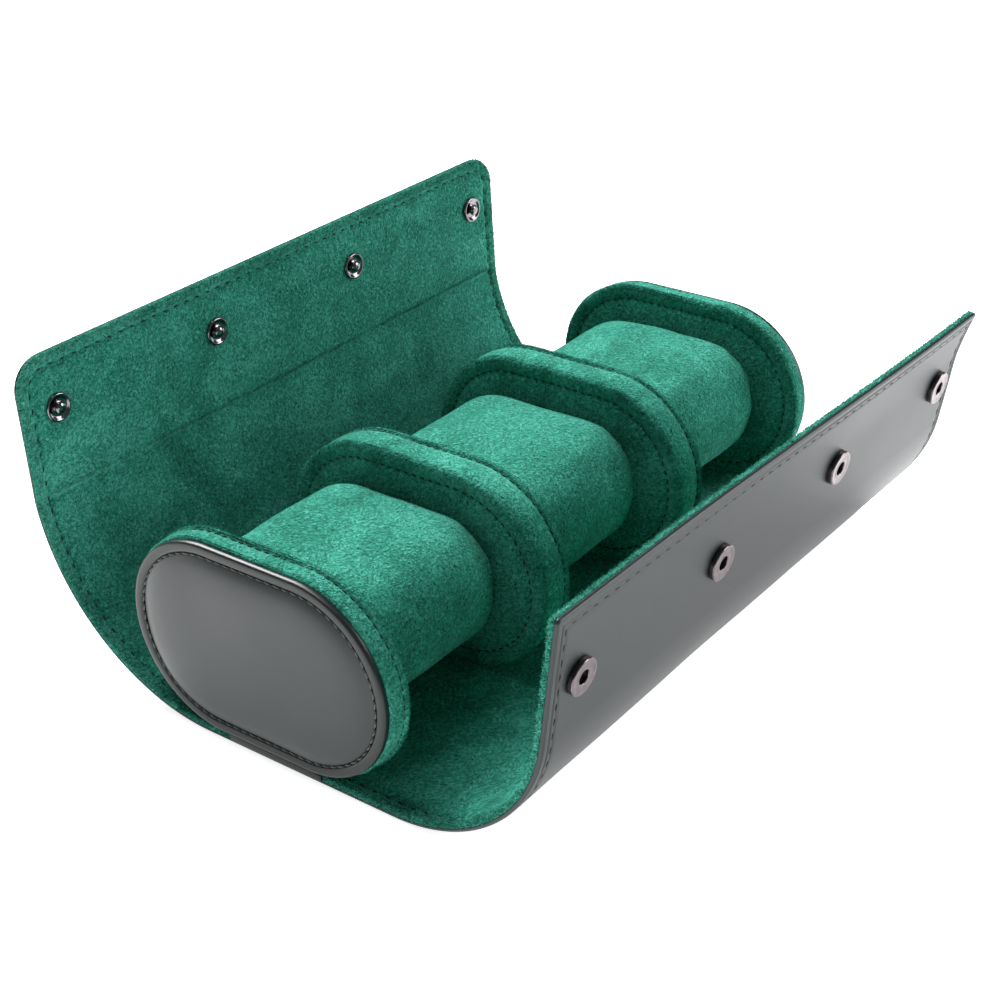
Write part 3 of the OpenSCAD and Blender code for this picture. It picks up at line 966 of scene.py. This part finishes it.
def divider_profile():
    half = [(DIVIDER_X - DIVIDER_HALF + a * MM, r * MM) for a, r in FACE_TO_SEAM]
    crown = [(DIVIDER_X + a * MM, r * MM) for a, r in DIVIDER_CROWN]
    other = [(2 * DIVIDER_X - x, r) for x, r in reversed(half)]
    return soft_line(half + crown + other)


def cap_cover_profile():
    return soft_line([(CAP_INNER_X - a * MM, r * MM) for a, r in FACE_TO_SEAM] + in_metres(CAP_BAND))


def disc_outline(r):
    return outline(r + DISC_FLAT, -r, r, r, r)


STITCH_CLEAR = 0.4 * MM
NAP_CLEAR = 1.2 * MM


def disc_places(x, r, on_face, shift=0.5):
    """Places for stitches round a disc, lying on its face or on its band."""
    places = []
    for a, b, heading in evenly(disc_outline(r), DISC_PITCH, shift):
        along = Vector((0, math.cos(heading), math.sin(heading)))
        normal = Vector((1, 0, 0)) if on_face else Vector((0, math.sin(heading), -math.cos(heading)))
        places.append(placed((x, a, DISC_Z + b), along, normal) @ Matrix.Rotation(STITCH_SLANT, 4, "Z"))
    return [place for place in places if place.translation.z > DISC_SEAT + STITCH_CLEAR]


def face_seams(face_x, into):
    """Stitch places round a padded disc's face, into being the way from the face into the disc."""
    return (disc_places(face_x + into * FACE_SEAM_DEPTH, FACE_SEAM_R, True)
            + disc_places(face_x + into * BAND_SEAM_DEPTH, BAND_SEAM_R, False))


# Rows of tufts, each as its depth in mm behind the face, its radius in mm and its lean into the disc
BEAD_ROWS = ((0.1, 32.9, -0.8), (0.45, 33.5, -0.4), (0.9, 33.8, 0.1), (1.4, 33.7, 0.6))
CAP_EDGE_X = -117.2 * MM
CAP_EDGE_ROWS = ((0.0, 32.9, -1.2), (0.5, 33.15, -0.8))
BEAD_FRINGE = 0.85 * MM
BEAD_ASIDE = 0.5


def bead_fringe(name, faces, seed, rows=BEAD_ROWS, material=GREEN_SUEDE):
    """Nap that stands off a padded disc's beads, its faces given as place and way into the disc."""
    roots, leans = [], []
    for face_x, into in faces:
        for depth, r, tilt in rows:
            for a, b, heading in evenly(disc_outline(r * MM), TUFT_PITCH):
                sine, cosine = math.sin(heading), math.cos(heading)
                roots.append((face_x + into * depth * MM, a, DISC_Z + b))
                leans.append((into * tilt, sine + BEAD_ASIDE * cosine, BEAD_ASIDE * sine - cosine))
    roots, leans = np.array(roots), np.array(leans)
    clear = roots[:, 2] > DISC_SEAT + NAP_CLEAR
    return fringe(name, roots[clear], leans[clear], BEAD_FRINGE, seed, material)


def dress_pair(left, material, node=None):
    """Finishes a piece of the left half of the core and its mirror image on the right."""
    for side, piece in (("left", left), ("right", mirrored(left))):
        dressed(piece, material, 50)
        if node:
            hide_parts(f"{node}_{side}")
        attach(piece, "base")
        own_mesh(piece)


def make_dividers():
    left = stadium("divider_left", divider_profile())
    seat(left, uneven(left, *COVER_RIPPLE, seed=5))
    faces = [(DIVIDER_X - DIVIDER_HALF, 1), (DIVIDER_X + DIVIDER_HALF, -1)]
    seams = sewn("divider_stitches_left", DIVIDER_STITCH, face_seams(*faces[0]) + face_seams(*faces[1]))
    nap = bead_fringe("divider_fringe_left", faces, 31)
    dress_pair(left, GREEN_SUEDE, "divider_suede")
    dress_pair(seams, SEAM_THREAD)
    dress_pair(nap, GREEN_SUEDE)


def make_caps():
    cover = stadium("cap_cover_left", cap_cover_profile())
    face = stadium("cap_face_left", soft_line(in_metres(CAP_FACE)))
    rim = stadium("cap_rim_left", soft_line(in_metres(CAP_RIM)))
    seat(cover, uneven(cover, *COVER_RIPPLE, seed=6))
    seat(face, uneven(face, *FACE_RIPPLE, seed=7))
    groove = sewn("cap_stitches_left", FACE_STITCH, disc_places(CAP_GROOVE_X, CAP_GROOVE_R, True))
    # Dark spots in the dark thread's colour at the groove's stitch holes: painted shade of the holes.
    hole_shade = sewn("cap_holes_left", FACE_HOLE_SHADE, disc_places(CAP_GROOVE_X, CAP_GROOVE_R, True, shift=0.0))
    seams = sewn("cap_cover_stitches_left", COVER_STITCH, face_seams(CAP_INNER_X, -1))
    nap = bead_fringe("cap_fringe_left", [(CAP_INNER_X, -1)], 32)
    dress_pair(cover, GREEN_SUEDE, "cap_suede")
    dress_pair(face, HIDE, "cap_leather")
    dress_pair(rim, EDGE_HIDE, "cap_piping")
    dress_pair(groove, GREY_THREAD)
    dress_pair(hole_shade, THREAD)
    dress_pair(seams, SEAM_THREAD)
    # The nap at the cap's outer edge takes the lighter suede, a painted highlight.
    outer_nap = bead_fringe("cap_outer_fringe_left", [(CAP_EDGE_X, 1)], 33, CAP_EDGE_ROWS, LIT_NAP_SUEDE)
    dress_pair(nap, GREEN_SUEDE)
    dress_pair(outer_nap, LIT_NAP_SUEDE)


# ---- pillows ----

PILLOW_XS = {"left": -78 * MM, "middle": 0.0, "right": 78 * MM}
PILLOW_Z = 38.5 * MM
PILLOW_HALF_L = 31.4 * MM
PILLOW_HALF_W = 37.5 * MM
PILLOW_HALF_H = 22.5 * MM
PILLOW_SMALLER = 1.2 * MM
PILLOW_SLACK = 0.4 * MM
PILLOW_END_R = 6 * MM
PILLOW_VOXEL = 4.5 * MM
PILLOW_PRESSURE = 4
PILLOW_RIPPLE = (15 * MM, 0.5 * MM)
END_SEAM_IN = 5 * MM
END_SEAM = (3.2 * MM, 0.5 * MM)
SWELL_LIMIT = 3 * MM
SIM_FRAMES = 20


def pillow_form():
    """A closed pad: a rounded block squeezed to a flat oval, a little under size."""
    bpy.ops.mesh.primitive_cylinder_add(vertices=64, radius=PILLOW_HALF_H - PILLOW_SMALLER,
                                        depth=2 * (PILLOW_HALF_L - PILLOW_SMALLER),
                                        rotation=(0, math.pi / 2, 0))
    pad = named("pillow_form")
    points = points_of(pad)
    points[:, 1] += np.sign(np.round(points[:, 1], 6)) * (PILLOW_HALF_W - PILLOW_HALF_H)
    set_points(pad, points)
    apply_modifier(pad, "BEVEL", width=PILLOW_END_R, segments=5, limit_method="ANGLE",
                   angle_limit=math.radians(50))
    return pad


def swell(pad):
    """Blows the pad up a little with a cloth simulation, as stuffing does."""
    apply_modifier(pad, "REMESH", mode="VOXEL", voxel_size=PILLOW_VOXEL)
    before = points_of(pad)
    alone(pad)
    cloth = pad.modifiers.new("cloth", "CLOTH")
    cloth.settings.use_pressure = True
    cloth.settings.uniform_pressure_force = PILLOW_PRESSURE
    cloth.settings.effector_weights.gravity = 0
    for number in range(1, SIM_FRAMES + 1):
        bpy.context.scene.frame_set(number)
    bpy.ops.object.modifier_apply(modifier="cloth")
    bpy.context.scene.frame_set(1)
    moved = points_of(pad) - before
    length = np.maximum(np.linalg.norm(moved, axis=1, keepdims=True), 1e-9)
    set_points(pad, before + moved * np.minimum(1, SWELL_LIMIT / length))
    apply_modifier(pad, "SUBSURF", levels=1, render_levels=1)


def fit_bay(pad):
    """Brings the pad to its size, clear of its bay's walls, and draws in the seams round its ends."""
    points = points_of(pad)
    limits = np.array([PILLOW_HALF_L, PILLOW_HALF_W + PILLOW_SLACK, PILLOW_HALF_H + PILLOW_SLACK])
    points *= limits / np.abs(points).max(axis=0)
    from_end = PILLOW_HALF_L - np.abs(points[:, 0])
    points[:, 1:] *= 1 - dip(from_end, END_SEAM_IN, *END_SEAM)[:, None] / PILLOW_HALF_H
    set_points(pad, points)


def make_pillows():
    form = pillow_form()
    swell(form)
    fit_bay(form)
    for number, (side, x) in enumerate(PILLOW_XS.items()):
        pad = copied(form, f"pillow_{side}_cover")
        set_points(pad, points_of(pad) + np.array([x, 0, PILLOW_Z]))
        points = uneven(pad, *PILLOW_RIPPLE, seed=11 + number)
        points[:, 0] = np.clip(points[:, 0], x - PILLOW_HALF_L, x + PILLOW_HALF_L)
        set_points(pad, points)
        dressed(pad, GREEN_SUEDE, 80)
        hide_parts(f"pillow_suede_{side}", f"pillow_foam_{side}")
        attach(pad, f"pillow_{side}")
    bpy.data.objects.remove(form)


# ---- snaps ----

FITTING_STEPS = 48


def on_wrap(x, s, outside):
    """Matrix that stands a fitting on the wrap, its Z pointing out of the leather or the lining."""
    t = 0 if outside else WRAP_T
    place = rolled_point(x, s, t)
    along = (rolled_point(x + 1 * MM, s, t) - place).normalized()
    normal = along.cross(rolled_point(x, s + 1 * MM, t) - place).normalized()
    return placed(place, along, -normal if outside else normal)


def snap_parts(name, profile, s, outside, material, body, *nodes):
    """One fitting at each of a panel's snap places, as one piece, from a profile of r, z in mm."""
    fitting = spun(name, [(r, 0, z) for r, z in in_metres(profile)], (0, 0, 1), FITTING_STEPS, FINE_WELD)
    faces_out(fitting)
    copies = [copied(fitting, name) for _ in SNAP_XS]
    for x, copy in zip(SNAP_XS, copies):
        copy.data.transform(on_wrap(x, s, outside))
    bpy.data.objects.remove(fitting)
    group = joined(name, copies)
    dressed(group, material, 35)
    if nodes:
        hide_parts(*nodes)
    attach(group, body)


def arc(r0, z0, radius, low, high, steps=5):
    """Points of a rounded corner in a profile."""
    angles = [math.radians(low + (high - low) * k / steps) for k in range(steps + 1)]
    return [(r0 + radius * math.cos(a), z0 + radius * math.sin(a)) for a in angles]


def socket_profile():
    hole = [(5.0, 0.0), (2.2, 0.0), (2.2, 1.2)] + arc(2.55, 1.3, 0.35, 180, 90, 4)
    face = [(2.9, 1.6), (3.3, 1.55), (4.6, 1.64)]
    side = arc(5.3, 1.35, 0.45, 80, 0) + arc(5.4, 0.35, 0.35, 0, -90, 4)
    return hole + face + side + [(5.0, 0.0)]


def stud_profile():
    dish = [(0, 0.0), (4.2, 0.0)] + arc(4.3, 0.5, 0.5, -90, 130, 8) + [(3.5, 0.5), (3.0, 0.28), (2.3, 0.25)]
    angles = [math.radians(a) for a in range(-45, 86, 10)]
    ball = [(2.05 * math.cos(a), 1.3 + 1.1 * math.sin(a)) for a in angles]
    return dish + [(1.7, 0.4), (1.5, 0.6)] + ball + [(0, 2.4)]


def cap_profile():
    angles = [math.radians(a) for a in range(0, 90, 10)]
    dome = [(6.0 * math.cos(a), 0.35 + 1.05 * math.sin(a)) for a in angles]
    return [(0, 0.0), (5.8, 0.0), (6.0, 0.15)] + dome + [(0, 1.4)]


WELL = [(0, 0.05), (2.3, 0.05), (2.3, 0.3), (1.4, 0.3), (1.1, 0.2), (0, 0.2)]
FLANGE = [(0, 0.0), (4.5, 0.0)] + arc(4.4, 0.3, 0.3, -60, 100) + [(3.0, 0.5), (2.0, 0.32), (0, 0.3)]


def make_snaps():
    sockets, studs = FRONT_CREASE_S - SOCKET_S, BACK_CREASE_S + STUD_S
    snap_parts("snap_socket_rings", socket_profile(), sockets, True, GUNMETAL, "front_panel",
               "snap_sockets")
    # A dark disc at the bottom of each socket's hole: painted shade.
    snap_parts("snap_socket_wells", WELL, sockets, True, WELL_SHADE_METAL, "front_panel")
    snap_parts("snap_socket_flanges", FLANGE, sockets, False, GUNMETAL, "front_panel",
               "snap_socket_rivets")
    snap_parts("snap_stud_dishes", stud_profile(), studs, False, BLACK_CHROME, "back_panel", "snap_studs")
    snap_parts("snap_domes", cap_profile(), studs, True, GUNMETAL, "back_panel", "snap_caps")


# ---- end tabs ----

TAB_W = 37 * MM
TAB_SHIFT = 3.5 * MM
TAB_T = 0.9 * MM
TAB_H = 2.3 * MM
TAB_Z = 2.75 * MM
TAB_OUT = 0.4 * MM
TAB_ROUND = 0.4 * MM


def make_tabs():
    for side, sign in (("left", -1), ("right", 1)):
        bpy.ops.mesh.primitive_cube_add(size=1)
        tab = named(f"edge_tab_{side}")
        stretch(tab, (TAB_T, TAB_W, TAB_H))
        tab.data.transform(Matrix.Translation((sign * (WRAP_L / 2 + TAB_OUT), -TAB_SHIFT, TAB_Z)))
        apply_modifier(tab, "BEVEL", width=TAB_ROUND, segments=5, limit_method="ANGLE")
        dressed(tab, EDGE_HIDE, 50)
        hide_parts(f"end_tab_{side}")
        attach(tab, "base")


# ---- parts carried over, stage and light ----

BOARD_CUTS = 20


def cut_evenly(origin, way, low, high, count):
    """Adds lines of edges round the piece that is being edited, at even steps from low to high."""
    for step in np.linspace(low, high, count + 1)[1:-1]:
        bpy.ops.mesh.select_all(action="SELECT")
        bpy.ops.mesh.bisect(plane_co=origin + way * step, plane_no=way, threshold=FINE_WELD)


def make_front_board():
    """The front flap's stiffening board, which leans and curls with the flap."""
    board = copied(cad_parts["front_panel_board"], "flap_board_front")
    edit(board)
    bpy.ops.mesh.remove_doubles(threshold=WELD)
    hinge = rolled_point(0, FRONT_CREASE_S, MID_T)
    outwards = (rolled_point(0, FRONT_CREASE_S - 1 * MM, MID_T) - hinge).normalized()
    cut_evenly(Vector(), Vector((1, 0, 0)), -WRAP_L / 2, WRAP_L / 2, BOARD_CUTS)
    cut_evenly(hinge, outwards, 0, FRONT_PANEL, BOARD_CUTS // 2)
    end_edit()
    points = points_of(board)
    s = FRONT_CREASE_S - (points - np.array(hinge)) @ np.array(outwards)
    inwards = (rolled_point(0, FRONT_CREASE_S, WRAP_T) - hinge).normalized()
    set_points(board, points - flare(points[:, 0], s)[:, None] * np.array(inwards))
    painted(board, BOARD)
    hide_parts("front_panel_board")
    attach(board, "front_panel")


def dress_frame_parts():
    finishes = {"board": BOARD, "foam": FOAM, "pad": FOAM, "springs": SPRING}
    for name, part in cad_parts.items():
        for word, material in finishes.items():
            if word in name:
                painted(part, material)


FLOOR_GLOW = 0.82
FLOOR_SIZE = 40
WORLD_COLOUR = (0.96, 0.96, 1.0, 1)
WORLD_STRENGTH = 0.17
# Lights, each as its name, place, size in metres and power in watts
LIGHTS = (("back_softbox", (0.40, 1.0, 1.1), 0.9, 48), ("top_softbox", (-0.1, 0.3, 1.4), 0.6, 8),
          ("front_softbox", (1.1, -1.15, 0.6), 0.9, 17))
LIGHT_TARGET = Vector((0, 0, 0.03))


def make_stage():
    bpy.ops.mesh.primitive_plane_add(size=FLOOR_SIZE)
    floor = named("floor")
    s = Shader("pale_floor")
    s.colour(s.noise(3, detail=2), [(0.0, (0.93, 0.93, 0.93)), (1.0, (0.95, 0.95, 0.95))])
    s.set(Roughness=0.9, Specular_IOR_Level=0.1, Emission_Color=(1, 1, 1, 1), Emission_Strength=FLOOR_GLOW)
    painted(floor, s.material)


def add_light(name, place, size, power):
    data = bpy.data.lights.new(name, "AREA")
    data.shape = "DISK"
    data.size = size
    data.energy = power
    light = bpy.data.objects.new(name, data)
    bpy.context.scene.collection.objects.link(light)
    light.location = place
    light.rotation_mode = "QUATERNION"
    light.rotation_quaternion = (LIGHT_TARGET - Vector(place)).to_track_quat("-Z", "Y")


def light_studio():
    world = bpy.data.worlds.new("studio")
    bpy.context.scene.world = world
    world.use_nodes = True
    background = world.node_tree.nodes["Background"]
    background.inputs["Color"].default_value = WORLD_COLOUR
    background.inputs["Strength"].default_value = WORLD_STRENGTH
    for light in LIGHTS:
        add_light(*light)
    bpy.context.scene.view_settings.view_transform = "Standard"


make_wrap()
make_wrap_stitches()
make_lining_fringe()
make_dividers()
make_caps()
make_pillows()
make_snaps()
make_tabs()
make_front_board()
dress_frame_parts()
make_stage()
light_studio()
